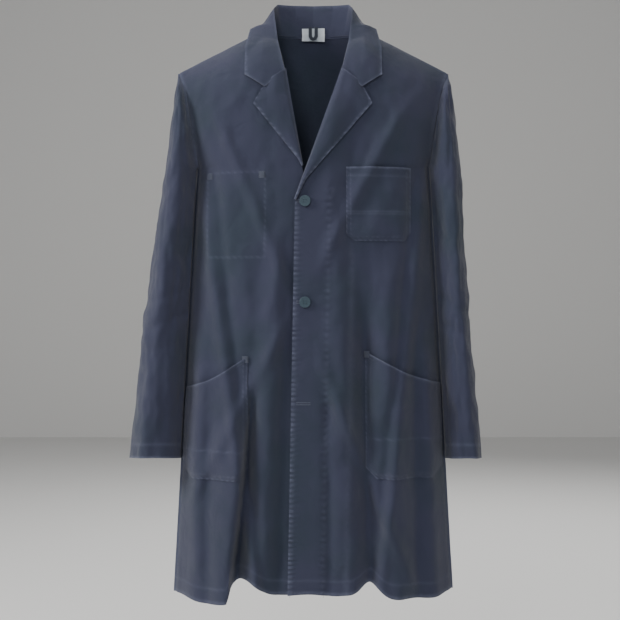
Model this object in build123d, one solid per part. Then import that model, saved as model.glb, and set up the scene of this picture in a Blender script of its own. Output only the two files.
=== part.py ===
# Knee-length work coat, hanging by its shoulders. Millimetres, +Z up, the front faces -Y.
# The origin is on the coat's centre, level with the neck seam, where a hanger's neck comes through.
# Names say left and right as the wearer has them, so the left front is on the +X side.
import math
import os

from build123d import *

os.makedirs("parts", exist_ok=True)

# Overall sizes
hem_z = -1040.0            # lowest edge of the skirts
hem_half_width = 257.0     # half the coat's width at the hem
chest_half_width = 214.0   # half the width between the side seams under the arms
front_depth = 58.0         # how far the front hangs forward of the side seams
back_depth = 40.0          # how far the back hangs behind them
hem_flare = 16.0           # what each gains at the hem
side_roundness = 5.0       # higher is flatter across and tighter at the side seams

# Shoulders and armholes
neck_half_width = 92.0     # where the shoulder seam meets the neck seam
neck_z = -8.0
shoulder_half_width = 248.0
shoulder_z = -87.0
shoulder_round = 38.0      # fall over which the shoulders reach full depth
armhole_half_width = 222.0 # narrowest place across the armholes
underarm_z = -264.0

# Cloth
cloth = 1.6                # thickness of the twill
lay = 0.9                  # air between layers that lie on each other
seam_width = 11.0          # width of a felled seam
hem_height = 28.0          # depth of the turned hems

# Front edges, lapels and collar
overlap_top_x = -33.0      # edge of the left front at the break of the lapel
overlap_hem_x = -46.0      # and at the hem
underlap_x = 12.0          # edge of the right front, under the left
break_z = -327.0           # where the lapels start to roll
roll_neck_x = 64.0         # roll line beside the neck
roll_neck_z = -45.0
notch_x = 86.0             # notch between collar and lapel
notch_z = -117.0
lapel_tip_x = 105.0
lapel_tip_z = -149.0
collar_tip_x = 125.0
collar_tip_z = -96.0
collar_side_x = 118.0      # collar's outer edge over the shoulder seam
collar_top_z = 46.0        # fold of the collar behind the neck
collar_fall = 74.0         # depth of the collar's fall at the back
facing_width = 70.0        # cloth facing behind each front edge
lap_lift = 10.0            # how far the left front stands off the right one
fold_ease = 0.6            # air beside each fold line
lapel_gap = 1.4            # air between a lapel and the front under it
wing_lift = 8.5            # how much further forward the collar stands than the lapel

# Buttons
button_r = 10.0
button_thick = 3.6
button_x = -15.0
button_pitch = 181.0       # from one button to the next, the top one at the break
buttonhole_length = 24.0
thread_r = 1.4

# Pockets
pocket_room = 11.0         # room behind the chest and inner pockets
hip_pocket_room = 15.0     # room for a hand behind a hip pocket
chest_pocket_x = 59.0
chest_pocket_width = 117.0
chest_pocket_top = -265.0
chest_pocket_height = 133.0
inner_pocket_x = -192.0
inner_pocket_width = 105.0
inner_pocket_top = -274.0
inner_pocket_height = 153.0
hip_pocket_x = 94.0        # edge nearest the front edge
hip_pocket_outer_x = 238.0
hip_mouth_inner_z = -598.0
hip_mouth_outer_z = -655.0
hip_pocket_bottom = -824.0
bartack_size = 9.0

# Skirt corners, which fold back below the second button
skirt_top_z = -530.0
skirt_hem_x = 165.0
under_skirt_top_z = -700.0
under_skirt_hem_x = -170.0

# Sleeves: centre, half width across and half depth at four heights. The left one hangs closer in.
sleeve_top_z = -89.0
sleeve_bend_z = -300.0     # middle of the bend below the shoulder
elbow_z = -535.0
cuff_z = -792.0
sleeve_top = (242.0, 16.0, 24.0)
sleeve_underarm = (248.0, 24.0, 52.0)
right_sleeve_elbow = (273.0, 40.0, 58.0)
right_sleeve_cuff = (294.0, 45.0, 60.0)
left_sleeve_elbow = (260.0, 27.0, 62.0)
left_sleeve_cuff = (281.0, 32.0, 66.0)
shoulder_bend_half = 42.0  # half the length of cloth that bends below the shoulder
elbow_bend_half = 50.0
cuff_hem = 26.0

# Neck trimmings
label_width = 42.0
label_height = 24.0
loop_width = 17.0
loop_drop = 26.0
loop_tape = 5.0
loop_room = 7.0

cloth_colour = Color(0.27, 0.30, 0.37)


def shoulder_line(x):
    """Height of the shoulder seam at x."""
    run = max(0.0, abs(x) - neck_half_width) / (shoulder_half_width - neck_half_width)
    return neck_z + (shoulder_z - neck_z) * min(run, 1.2)


def half_width(z):
    """Half the coat's width at height z, for the hang of the cloth."""
    below = max(0.0, (underarm_z - z) / (underarm_z - hem_z))
    above = min(1.0, max(0.0, (z - underarm_z) / (shoulder_z - underarm_z)))
    low = chest_half_width + (hem_half_width - chest_half_width) * min(1.1, below)
    return low + above * (shoulder_half_width + 14.0 - chest_half_width)


def hang(x, z, depth):
    """How far the cloth hangs from the plane of the side seams."""
    low = min(1.1, max(0.0, (underarm_z - z) / (underarm_z - hem_z)))
    across = min(1.0, abs(x) / half_width(z)) ** side_roundness
    drop = 1.0 - math.exp(-max(0.0, shoulder_line(x) - z) / shoulder_round)
    return (depth + hem_flare * low) * (1.0 - across) * drop


def front(x, z):
    return -hang(x, z, front_depth) - 1.0


def back(x, z):
    """The back, which at the top follows the collar's curve behind the neck."""
    across = max(0.0, 1.0 - (x / neck_half_width) ** 2)
    near_neck = math.exp(-max(0.0, neck_z - z) / shoulder_round)
    return hang(x, z, back_depth) + 1.0 + 0.56 * back_depth * across * near_neck


def over(x, z):
    """The left front, which stands off the right one along the front edges."""
    near = min(1.0, max(0.0, (underlap_x + 62.0 - x) / 50.0))
    low = min(1.0, max(0.0, (roll_neck_z - z) / 120.0))
    return front(x, z) - lap_lift * (3 * near ** 2 - 2 * near ** 3) * low


def off(surface, distance):
    """The same surface, a distance further towards the front."""
    return lambda x, z: surface(x, z) - distance


def sheet(surface, outline, thick=cloth, step=26.0):
    """A piece of cloth whose outer face follows surface inside an outline in X and Z."""
    xs, zs = [p[0] for p in outline], [p[1] for p in outline]
    x0, x1, z0, z1 = min(xs) - 3, max(xs) + 3, min(zs) - 3, max(zs) + 3
    nx = max(5, min(16, int((x1 - x0) / step) + 2))
    nz = max(5, min(22, int((z1 - z0) / step) + 2))
    grid = []
    for i in range(nx):
        x = x0 + (x1 - x0) * i / (nx - 1)
        row = []
        for k in range(nz):
            z = z0 + (z1 - z0) * k / (nz - 1)
            row.append(Vector(x, surface(x, z), z))
        grid.append(row)
    skin = Face.make_surface_from_array_of_points(grid, tol=0.05)
    slab = extrude(skin, amount=thick, dir=(0, 1, 0))
    flat = make_face(Polyline([(x, -400, z) for x, z in outline], close=True))
    return slab & extrude(flat, amount=800, dir=(0, 1, 0))


def mirror_x(outline):
    return [(-x, z) for x, z in outline]


def line_x(top, bottom, z):
    """X at height z of the straight line between two points."""
    return top[0] + (bottom[0] - top[0]) * (z - top[1]) / (bottom[1] - top[1])


def save(name, shape, label=None, colour=cloth_colour):
    shape.label = label or name
    shape.color = colour
    export_step(shape, f"parts/{name}.step")
    print(name, round(shape.volume), flush=True)


# Outlines shared by the pieces of each front, for the side with positive X.
neck_point = (neck_half_width, neck_z - 3)
shoulder_point = (shoulder_half_width - 4, shoulder_z - 4)
armhole = [
    shoulder_point,
    (armhole_half_width + 10, shoulder_z - 40),
    (armhole_half_width, shoulder_z - 90),
    (chest_half_width + 1, underarm_z + 30),
    (chest_half_width - 6, underarm_z),
]
side = [
    (half_width(-450) - 5, -450),
    (half_width(-650) - 5, -650),
    (half_width(-850) - 5, -850),
    (half_width(hem_z) - 5, hem_z),
]
roll_neck = (roll_neck_x, roll_neck_z)
overlap_break = (overlap_top_x, break_z)
overlap_hem = (overlap_hem_x, hem_z)
fold_top = (line_x(overlap_break, overlap_hem, skirt_top_z), skirt_top_z)
fold_hem = (skirt_hem_x, hem_z)
under_fold_top = (underlap_x, under_skirt_top_z)
under_fold_hem = (under_skirt_hem_x, hem_z)
under_break = (underlap_x, break_z - 12)
under_roll = (-12.0, break_z + 22)


def shift(outline, dx, dz=0.0):
    return [(x + dx, z + dz) for x, z in outline]


# Back: one wide panel from shoulder seams to hem, with its turned hem inside.
back_outline = (
    [(-neck_half_width + 12, neck_z - 12), (-neck_half_width, neck_z - 3)]
    + mirror_x(armhole) + mirror_x(side)
    + side[::-1] + armhole[::-1]
    + [(neck_half_width, neck_z - 3), (neck_half_width - 12, neck_z - 12)]
)
save("back_panel", sheet(lambda x, z: back(x, z), back_outline))
hem_side = half_width(hem_z + hem_height) - 14
back_hem_outline = [(-hem_side, hem_z + hem_height), (-hem_side - 4, hem_z), (hem_side + 4, hem_z), (hem_side, hem_z + hem_height)]
save("back_hem", sheet(lambda x, z: back(x, z) - cloth - lay - 0.5, back_hem_outline))

# Left front: the fixed part above and outside the fold, then the corner that folds back.
left_outline = (
    [roll_neck, neck_point] + armhole + side
    + [(fold_hem[0] + fold_ease, hem_z), (fold_top[0] + fold_ease, skirt_top_z + 2), (fold_top[0], skirt_top_z + 2), overlap_break]
)
left_front = sheet(over, left_outline)
holes = []
for n in range(3):
    z = break_z - n * button_pitch
    slit = Box(buttonhole_length, 200, 4.4).moved(Location((button_x - 3, 0, z)))
    holes.append(slit)
save("left_front", left_front - holes[0] - holes[1])
left_skirt_outline = [(fold_top[0], skirt_top_z - 3), (fold_hem[0] - fold_ease, hem_z), overlap_hem]
save("left_skirt_corner", sheet(over, left_skirt_outline) - holes[2])

# Right front, under the left, in the same two parts.
right_outline = (
    [(-roll_neck_x, roll_neck_z), (-neck_half_width, neck_z - 3)]
    + mirror_x(armhole) + mirror_x(side)
    + [(under_fold_hem[0] - fold_ease, hem_z), (under_fold_top[0] - fold_ease, under_skirt_top_z + 2), (underlap_x, under_skirt_top_z + 2), under_break, under_roll]
)
save("right_front", sheet(front, right_outline))
right_skirt_outline = [(underlap_x, under_skirt_top_z - 3), (under_fold_hem[0] + fold_ease, hem_z), (underlap_x, hem_z)]
save("right_skirt_corner", sheet(front, right_skirt_outline))

# Facings: a strip of cloth behind each front edge, split at the same folds.
inside_left = off(over, -(cloth + lay))
inside_right = off(front, -(cloth + lay))
facing_inner = overlap_top_x + facing_width
left_facing_fold_z = skirt_top_z - (facing_inner - fold_top[0]) * (skirt_top_z - hem_z) / (fold_hem[0] - fold_top[0])
left_facing_outline = [
    (roll_neck_x + 4, roll_neck_z - 8), (roll_neck_x + 34, roll_neck_z - 20), (facing_inner, break_z),
    (facing_inner, left_facing_fold_z + 2), (fold_top[0] + 3, skirt_top_z + 4), (overlap_top_x + 3, break_z - 2),
]
save("left_facing", sheet(inside_left, left_facing_outline) - holes[0] - holes[1])
left_low_facing_outline = [
    (fold_top[0] + 1, skirt_top_z - 8), (facing_inner - 1, left_facing_fold_z - 4), (facing_inner - 1, hem_z + 2),
    (overlap_hem_x + 2, hem_z + 2),
]
save("left_skirt_facing", sheet(inside_left, left_low_facing_outline) - holes[2])
under_facing_x = underlap_x - facing_width
right_facing_fold_z = under_skirt_top_z - (underlap_x - under_facing_x) * (under_skirt_top_z - hem_z) / (underlap_x - under_skirt_hem_x)
right_facing_outline = [
    (-roll_neck_x - 4, roll_neck_z - 8), (-roll_neck_x - 34, roll_neck_z - 20), (under_facing_x, break_z),
    (under_facing_x, right_facing_fold_z + 2), (underlap_x - 2, under_skirt_top_z + 4), (underlap_x - 2, break_z - 16), (-15.0, break_z + 20),
]
save("right_facing", sheet(inside_right, right_facing_outline))
right_low_facing_outline = [
    (underlap_x - 1, under_skirt_top_z - 8), (under_facing_x + 1, right_facing_fold_z - 4), (under_facing_x + 1, hem_z + 2), (underlap_x - 1, hem_z + 2),
]
save("right_skirt_facing", sheet(inside_right, right_low_facing_outline))

# Turned hems of the fronts, outside the folds.
hem_top = hem_z + hem_height
save("left_front_hem", sheet(inside_left, [
    (line_x(fold_top, fold_hem, hem_top) + 3, hem_top), (hem_side, hem_top), (hem_side + 4, hem_z + 1), (fold_hem[0] + 3, hem_z + 1)]))
save("right_front_hem", sheet(inside_right, [
    (line_x(under_fold_top, under_fold_hem, hem_top) - 3, hem_top), (-hem_side, hem_top), (-hem_side - 4, hem_z + 1),
    (under_fold_hem[0] - 3, hem_z + 1)]))


def seam_strip(points, inside, thick=2.0):
    """A felled seam: a narrow tape that follows points down one edge."""
    pieces = []
    for (x0, y0, z0), (x1, y1, z1) in zip(points, points[1:]):
        length = math.dist((x0, y0, z0), (x1, y1, z1))
        mid = ((x0 + x1) / 2, (y0 + y1) / 2, (z0 + z1) / 2)
        along = Vector(x1 - x0, y1 - y0, z1 - z0)
        plane = Plane(origin=mid, x_dir=Vector(0, 1, 0).cross(along), z_dir=along)
        pieces.append(plane * Box(thick, inside, length))
    whole = pieces[0]
    for piece in pieces[1:]:
        whole = whole + piece
    return whole


# Side seams join front and back below the arms. Shoulder seams join them above.
for hand, sign in (("left", 1), ("right", -1)):
    line = [(sign * (half_width(z) - 1.5), 1.0, z) for z in (underarm_z + 2, -450, -650, -850, hem_z)]
    save(f"{hand}_side_seam", seam_strip(line, seam_width))
    line = [(sign * x, 0.0, shoulder_line(x) - 1.2) for x in (neck_half_width + 1, (neck_half_width + shoulder_half_width) / 2, shoulder_half_width - 5)]
    save(f"{hand}_shoulder_seam", seam_strip(line, seam_width))

# Patch pockets. Each is one cloth that stands off the front in the middle and is sewn down at its edges.


def patch(surface, outline, room, outer=1.0):
    """A patch pocket as a shallow tray: a face, and walls down to the cloth on all sides but the mouth."""
    xs, zs = [p[0] for p in outline], [p[1] for p in outline]
    face = sheet(off(surface, outer * (room + lay) + (cloth if outer > 0 else 0)), outline)
    x0, x1, z0, z1 = min(xs), max(xs), min(zs), max(zs)
    body = extrude(make_face(Polyline([(x, -400, z) for x, z in outline], close=True)), amount=800, dir=(0, 1, 0))
    cx, cz = (x0 + x1) / 2, (z0 + z1) / 2
    inner = [(x - math.copysign(2.2, x - cx), z + (2.2 if z < cz else 60.0)) for x, z in outline]
    core = extrude(make_face(Polyline([(x, -400, z) for x, z in inner], close=True)), amount=800, dir=(0, 1, 0))
    start = off(surface, room + lay if outer > 0 else -(cloth + lay))
    wall = sheet(start, outline, thick=room - 0.8) & (body - core)
    return face + wall


def clipped(x0, x1, top, bottom, clip):
    return [(x0, top), (x1, top), (x1, bottom + clip), (x1 - clip, bottom), (x0 + clip, bottom), (x0, bottom + clip)]


chest_outline = clipped(chest_pocket_x, chest_pocket_x + chest_pocket_width, chest_pocket_top, chest_pocket_top - chest_pocket_height, 13)
save("chest_pocket", patch(over, chest_outline, pocket_room))
save("chest_pocket_hem", sheet(off(over, pocket_room + lay + 2 * cloth + 0.2), [
    (chest_pocket_x + 1, chest_pocket_top), (chest_pocket_x + chest_pocket_width - 1, chest_pocket_top),
    (chest_pocket_x + chest_pocket_width - 1, chest_pocket_top - 17), (chest_pocket_x + 1, chest_pocket_top - 17)], thick=1.4))
inner_outline = clipped(inner_pocket_x, inner_pocket_x + inner_pocket_width, inner_pocket_top, inner_pocket_top - inner_pocket_height, 22)
save("inner_pocket", patch(front, inner_outline, pocket_room, outer=-1.0))


def hip_outline(sign):
    xi, xo, run = hip_pocket_x, hip_pocket_outer_x, hip_pocket_outer_x - hip_pocket_x
    drop = hip_mouth_inner_z - hip_mouth_outer_z
    points = [
        (xi, hip_mouth_inner_z), (xi + 0.30 * run, hip_mouth_inner_z - 0.30 * drop), (xi + 0.55 * run, hip_mouth_inner_z - 0.72 * drop),
        (xi + 0.78 * run, hip_mouth_outer_z + 2), (xo, hip_mouth_outer_z),
        (xo, hip_pocket_bottom + 22), (xo - 20, hip_pocket_bottom), (xi + 18, hip_pocket_bottom), (xi, hip_pocket_bottom + 22),
    ]
    return [(sign * x, z) for x, z in points]


for hand, sign, base in (("left", 1, over), ("right", -1, front)):
    save(f"{hand}_hip_pocket", patch(base, hip_outline(sign), hip_pocket_room))

# Bartacks: short bars of thread at the pocket mouths.
tacks = []
for x, z, base, side_sign in (
    (inner_pocket_x + 5, inner_pocket_top - 4, front, 1), (inner_pocket_x + inner_pocket_width - 5, inner_pocket_top - 4, front, 1),
    (-hip_pocket_x - 8, hip_mouth_inner_z + 8, front, 1), (hip_pocket_x + 8, hip_mouth_inner_z + 8, over, 1),
):
    reach = bartack_size / 2 + 1
    y = min(base(x + dx, z + dz) for dx in (-reach, reach) for dz in (-reach, reach)) - 1.2
    tacks.append(Box(bartack_size, 0.8, bartack_size).moved(Location((x, y, z))))
save("pocket_bartacks", Compound(children=tacks))

# Buttons and their threads, on the right front. The third is undone, behind the left front.
buttons, threads = [], []
for n in range(3):
    z = break_z - n * button_pitch
    fastened = n < 2
    x = button_x if fastened else button_x - 4
    ground = front(x, z)
    face = over(x, z) if fastened else ground
    back_y = face - (2.7 if fastened else 0.9)
    disc = Cylinder(button_r, button_thick)
    disc = fillet(disc.edges(), 0.8)
    disc -= Cylinder(button_r - 2.6, 1.0).moved(Location((0, 0, button_thick / 2)))
    for hx, hy in ((2.2, 2.2), (-2.2, 2.2), (2.2, -2.2), (-2.2, -2.2)):
        disc -= Cylinder(1.0, 10).moved(Location((hx, hy, 0)))
    disc = Plane(origin=(x, back_y - button_thick / 2, z), x_dir=(1, 0, 0), z_dir=(0, -1, 0)) * disc
    buttons.append(disc)
    length = ground - back_y - 0.2
    shank = Cylinder(thread_r, length).rotate(Axis.X, 90).moved(Location((x, ground - 0.1 - length / 2, z)))
    threads.append(shank)
for n, (disc, shank) in enumerate(zip(buttons, threads), 1):
    save(f"button_{n}", disc, colour=Color(0.15, 0.22, 0.26))
save("button_threads", Compound(children=threads))

# Worked buttonholes: a frame of stitches round each slit.
for n in range(3):
    z = break_z - n * button_pitch
    rim = Box(buttonhole_length + 6, 0.8, 8.4) - Box(buttonhole_length, 4, 4.4)
    y = over(button_x - 3, z)
    save(f"buttonhole_{n + 1}", rim.moved(Location((button_x - 3, y - 1.9, z))))

# Lapels: the facing rolls outward over the front. The left one lies over the right front's lapel.


def lapel_outlines(sign, base_break):
    """Lapel and collar wing of one side, as outlines in X and Z."""
    roll_top = (sign * (roll_neck_x + 2), roll_neck_z)
    gorge = (line_x(roll_top, base_break, -92.0) + sign * 5, -92.0)
    notch = (sign * notch_x, notch_z)
    lapel = [gorge, notch, (sign * lapel_tip_x, lapel_tip_z)]
    wing = [
        (gorge[0], gorge[1] + 1.5), (sign * (notch_x + 1), notch_z + 6), (sign * collar_tip_x, collar_tip_z),
        (sign * (collar_side_x + 4), collar_tip_z + 55), (sign * collar_side_x, 2.0), (sign * (neck_half_width + 2), 22.0),
        (sign * (roll_neck_x + 6), collar_top_z), (sign * (roll_neck_x + 4), 0.0), (roll_top[0] + sign * 3, roll_top[1]),
    ]
    return lapel, wing


left_lapel, left_wing = lapel_outlines(1, overlap_break)
left_lapel += [(-14.0, break_z + 34), (overlap_top_x + 8, break_z + 12)]
right_lapel, right_wing = lapel_outlines(-1, (-17.0, -280.0))
right_lapel += [(-30.0, -256.0), (-22.0, -254.0)]
for hand, base, lapel, wing in (("left", over, left_lapel, left_wing), ("right", front, right_lapel, right_wing)):
    save(f"{hand}_lapel_back", sheet(off(base, lapel_gap + cloth), lapel, step=18))
    save(f"{hand}_lapel", sheet(off(base, lapel_gap + 2 * cloth + 0.2), lapel, step=18))
    save(f"{hand}_under_collar", sheet(off(base, lapel_gap + cloth + wing_lift), wing, step=14))
    save(f"{hand}_collar", sheet(off(base, lapel_gap + 2 * cloth + wing_lift + 0.3), wing, step=14))


# Collar behind the neck: a stand that rises from the neck seam and a fall that turns down over it.
def neck_ring(z0, a0, b0, z1, a1, b1, thick):
    """Half a conical shell behind the neck, between two half ellipses."""
    half = Box(600, 300, 600).moved(Location((0, 150 + 4, 0)))
    outer = loft([Plane.XY.offset(z) * Ellipse(a, b).face() for z, a, b in ((z0, a0, b0), (z1, a1, b1))], ruled=True)
    inner = loft([Plane.XY.offset(z) * Ellipse(a - thick, b - thick).face() for z, a, b in ((z0 - 0.01, a0, b0), (z1 + 0.01, a1, b1))], ruled=True)
    return (outer - inner) & half


stand_a, stand_b = neck_half_width - 10, back_depth * 0.62
fold_a, fold_b = stand_a - 6, stand_b + 2
save("collar_stand", neck_ring(neck_z, stand_a, stand_b, collar_top_z - 3, fold_a, fold_b, cloth))
fall_z = collar_top_z - collar_fall
shoulder_rest = shoulder_line(collar_side_x) + 14
over_back = extrude(make_face(Polyline([
    (-160, -10, shoulder_rest), (-collar_side_x + 18, -10, shoulder_rest), (-collar_side_x + 30, -10, fall_z - 5),
    (collar_side_x - 30, -10, fall_z - 5), (collar_side_x - 18, -10, shoulder_rest), (160, -10, shoulder_rest),
    (160, -10, 90), (-160, -10, 90)], close=True)), amount=200, dir=(0, 1, 0))
save("back_under_collar", over_back & neck_ring(fall_z + 4, collar_side_x - 4, back_depth + 21, collar_top_z - 1, fold_a + 3, fold_b + 3, cloth))
save("back_collar", over_back & neck_ring(fall_z, collar_side_x, back_depth + 25, collar_top_z, fold_a + 5.4, fold_b + 5.4, cloth))

# Neck label, and the loop of tape that hangs over it.
label_y = stand_b - cloth - 1.0
save("neck_label", Box(label_width, 0.8, label_height).moved(Location((0, label_y - 0.6, neck_z + 10 - label_height / 2))), colour=Color(0.8, 0.84, 0.88))
loop_top = neck_z + 12
frame_y = label_y - 2.2 - loop_room / 2
loop = Box(loop_width, 1.4, loop_drop) - Box(loop_width - 2 * loop_tape, 4, loop_drop - loop_tape).moved(Location((0, 0, loop_tape / 2 + 0.01)))
save("hang_loop", loop.moved(Location((0, frame_y, loop_top - loop_drop / 2))))

# Sleeves: an upper sleeve cloth outside and an under sleeve cloth inside, on each of four lengths.


def sleeve_at(sign, z):
    """Centre X, half width and half depth of a sleeve at height z."""
    elbow, cuff = (left_sleeve_elbow, left_sleeve_cuff) if sign > 0 else (right_sleeve_elbow, right_sleeve_cuff)
    stations = [(sleeve_top_z, sleeve_top), (underarm_z, sleeve_underarm), (elbow_z, elbow), (cuff_z, cuff)]
    for (za, a), (zb, b) in zip(stations, stations[1:]):
        if z >= zb:
            t = (za - z) / (za - zb)
            return tuple(p + (q - p) * t for p, q in zip(a, b))
    return cuff


def sleeve_length(sign, z_top, z_bottom, shrink=0.0, thick=cloth):
    """A tube of sleeve between two heights."""
    levels = [z_top] + [z for z in (underarm_z, elbow_z) if z_bottom + 5 < z < z_top - 5] + [z_bottom]
    outer, inner = [], []
    for z in levels:
        cx, a, b = sleeve_at(sign, z)
        place = Plane(origin=(sign * cx, 4.0, z), x_dir=(1, 0, 0), z_dir=(0, 0, 1))
        outer.append(place * Ellipse(a - shrink, b - shrink).face())
        inner.append(place * Ellipse(a - shrink - thick, b - shrink - thick).face())
    return loft(outer, ruled=True) - loft(inner, ruled=True)


for hand, sign in (("left", 1), ("right", -1)):
    lengths = (
        ("sleeve_head", sleeve_top_z - 6, sleeve_bend_z + shoulder_bend_half),
        ("sleeve_shoulder_bend", sleeve_bend_z + shoulder_bend_half - 0.5, sleeve_bend_z - shoulder_bend_half + 0.5),
        ("upper_sleeve", sleeve_bend_z - shoulder_bend_half, elbow_z + elbow_bend_half),
        ("sleeve_elbow_bend", elbow_z + elbow_bend_half - 0.5, elbow_z - elbow_bend_half + 0.5),
        ("lower_sleeve", elbow_z - elbow_bend_half, cuff_z),
    )
    for name, z_top, z_bottom in lengths:
        tube = sleeve_length(sign, z_top, z_bottom)
        if "head" in name:
            inside = [(x + 1.2, z) for x, z in armhole] + [(chest_half_width + 2, z_bottom - 5), (150, z_bottom - 5), (150, shoulder_z)]
            inside = inside if sign > 0 else mirror_x(inside)
            tube -= extrude(make_face(Polyline([(x, -400, z) for x, z in inside], close=True)), amount=800, dir=(0, 1, 0))
        if "bend" in name or "head" in name:
            save(f"{hand}_{name}", tube)
            continue
        cx = sleeve_at(sign, (z_top + z_bottom) / 2)[0]
        tilt = (sleeve_at(sign, z_top)[0] - sleeve_at(sign, z_bottom)[0]) / (z_top - z_bottom)
        cutter = Plane(origin=(sign * cx, 0, (z_top + z_bottom) / 2), x_dir=(0, 1, 0), z_dir=(sign, 0, -tilt))
        outside = tube & (cutter * Box(400, 900, 400).moved(Location((0, 0, 0.15 + 200))))
        under = tube & (cutter * Box(400, 900, 400).moved(Location((0, 0, -0.15 - 200))))
        save(f"{hand}_{name}_outer", outside)
        save(f"{hand}_{name}_under", under)
    save(f"{hand}_cuff_hem", sleeve_length(sign, cuff_z + cuff_hem, cuff_z + 0.5, shrink=cloth + 0.2, thick=1.2))
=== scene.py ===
import math

import bpy
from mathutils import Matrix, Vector, noise


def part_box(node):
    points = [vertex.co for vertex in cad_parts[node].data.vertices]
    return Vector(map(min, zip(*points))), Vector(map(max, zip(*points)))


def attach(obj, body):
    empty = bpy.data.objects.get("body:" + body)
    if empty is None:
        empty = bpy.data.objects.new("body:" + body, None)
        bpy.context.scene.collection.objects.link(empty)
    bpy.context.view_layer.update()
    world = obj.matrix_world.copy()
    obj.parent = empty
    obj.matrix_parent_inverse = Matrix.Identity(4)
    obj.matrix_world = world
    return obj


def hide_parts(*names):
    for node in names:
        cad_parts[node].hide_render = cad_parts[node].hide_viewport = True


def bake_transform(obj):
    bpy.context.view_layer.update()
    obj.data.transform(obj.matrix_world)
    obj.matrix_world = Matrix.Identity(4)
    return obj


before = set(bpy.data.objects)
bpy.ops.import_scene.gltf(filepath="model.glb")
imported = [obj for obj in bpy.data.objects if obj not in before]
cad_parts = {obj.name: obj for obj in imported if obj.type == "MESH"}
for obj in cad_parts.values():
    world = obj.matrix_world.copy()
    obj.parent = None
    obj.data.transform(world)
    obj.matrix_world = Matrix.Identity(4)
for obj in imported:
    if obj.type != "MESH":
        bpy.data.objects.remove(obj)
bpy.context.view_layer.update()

# ---- Twill -------------------------------------------------------------
# The whole coat is cut from one slate cotton twill, dyed in the piece and washed many times.
# It fades along stitched edges, which are pressed hard and rub, and it keeps a teal cast in the hollows.


def twill(name, base, faded, hollow, rib=900.0, rough=0.86):
    """Diagonal ribs, cloudy dye, and a faded tone wherever the cloth's own rub value is high."""
    mat = bpy.data.materials.new(name)
    mat.use_nodes = True
    nodes, wire = mat.node_tree.nodes, mat.node_tree.links.new
    cloth = nodes["Principled BSDF"]
    cloth.inputs["Roughness"].default_value = rough
    cloth.inputs["Specular IOR Level"].default_value = 0.22
    cloth.inputs["Sheen Weight"].default_value = 0.18
    cloth.inputs["Sheen Roughness"].default_value = 0.5
    place = nodes.new("ShaderNodeTexCoord")

    clouds = nodes.new("ShaderNodeTexNoise")
    clouds.inputs["Scale"].default_value = 9.0
    clouds.inputs["Detail"].default_value = 5.0
    wire(place.outputs["Object"], clouds.inputs["Vector"])
    spread = nodes.new("ShaderNodeMapRange")
    spread.inputs["From Min"].default_value = 0.42
    spread.inputs["From Max"].default_value = 0.68
    wire(clouds.outputs["Fac"], spread.inputs["Value"])
    dye = nodes.new("ShaderNodeMix")
    dye.data_type = "RGBA"
    dye.inputs["A"].default_value = (*base, 1)
    dye.inputs["B"].default_value = (*hollow, 1)
    wire(spread.outputs["Result"], dye.inputs["Factor"])

    rub = nodes.new("ShaderNodeAttribute")
    rub.attribute_name = "rub"
    fleck = nodes.new("ShaderNodeTexNoise")
    fleck.inputs["Scale"].default_value = 160.0
    fleck.inputs["Detail"].default_value = 3.0
    wire(place.outputs["Object"], fleck.inputs["Vector"])
    broken = nodes.new("ShaderNodeMath")
    broken.operation = "MULTIPLY"
    wire(rub.outputs["Fac"], broken.inputs[0])
    wire(fleck.outputs["Fac"], broken.inputs[1])
    wear = nodes.new("ShaderNodeMath")
    wear.operation = "MULTIPLY"
    wear.use_clamp = True
    wear.inputs[1].default_value = 1.7
    wire(broken.outputs[0], wear.inputs[0])
    fade = nodes.new("ShaderNodeMix")
    fade.data_type = "RGBA"
    fade.inputs["B"].default_value = (*faded, 1)
    wire(wear.outputs[0], fade.inputs["Factor"])
    wire(dye.outputs["Result"], fade.inputs["A"])

    lean = nodes.new("ShaderNodeMapping")
    lean.inputs["Rotation"].default_value = (0, math.radians(58), 0)
    wire(place.outputs["Object"], lean.inputs["Vector"])
    ribs = nodes.new("ShaderNodeTexWave")
    ribs.bands_direction = "X"
    ribs.inputs["Scale"].default_value = rib
    ribs.inputs["Distortion"].default_value = 1.2
    ribs.inputs["Detail"].default_value = 1.0
    wire(lean.outputs["Vector"], ribs.inputs["Vector"])
    yarn = nodes.new("ShaderNodeMix")
    yarn.data_type = "RGBA"
    yarn.blend_type = "MULTIPLY"
    yarn.inputs["Factor"].default_value = 0.22
    wire(fade.outputs["Result"], yarn.inputs["A"])
    wire(ribs.outputs["Color"], yarn.inputs["B"])
    wire(yarn.outputs["Result"], cloth.inputs["Base Color"])

    slub = nodes.new("ShaderNodeMath")
    slub.operation = "ADD"
    wire(ribs.outputs["Fac"], slub.inputs[0])
    wire(fleck.outputs["Fac"], slub.inputs[1])
    bump = nodes.new("ShaderNodeBump")
    bump.inputs["Strength"].default_value = 0.35
    bump.inputs["Distance"].default_value = 0.0006
    wire(slub.outputs[0], bump.inputs["Height"])
    creases = nodes.new("ShaderNodeTexNoise")
    creases.inputs["Scale"].default_value = 26.0
    creases.inputs["Detail"].default_value = 4.0
    creases.inputs["Distortion"].default_value = 0.6
    wire(place.outputs["Object"], creases.inputs["Vector"])
    rumple = nodes.new("ShaderNodeBump")
    rumple.inputs["Strength"].default_value = 0.55
    rumple.inputs["Distance"].default_value = 0.005
    wire(creases.outputs["Fac"], rumple.inputs["Height"])
    wire(rumple.outputs["Normal"], bump.inputs["Normal"])
    wire(bump.outputs["Normal"], cloth.inputs["Normal"])
    return mat


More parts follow.
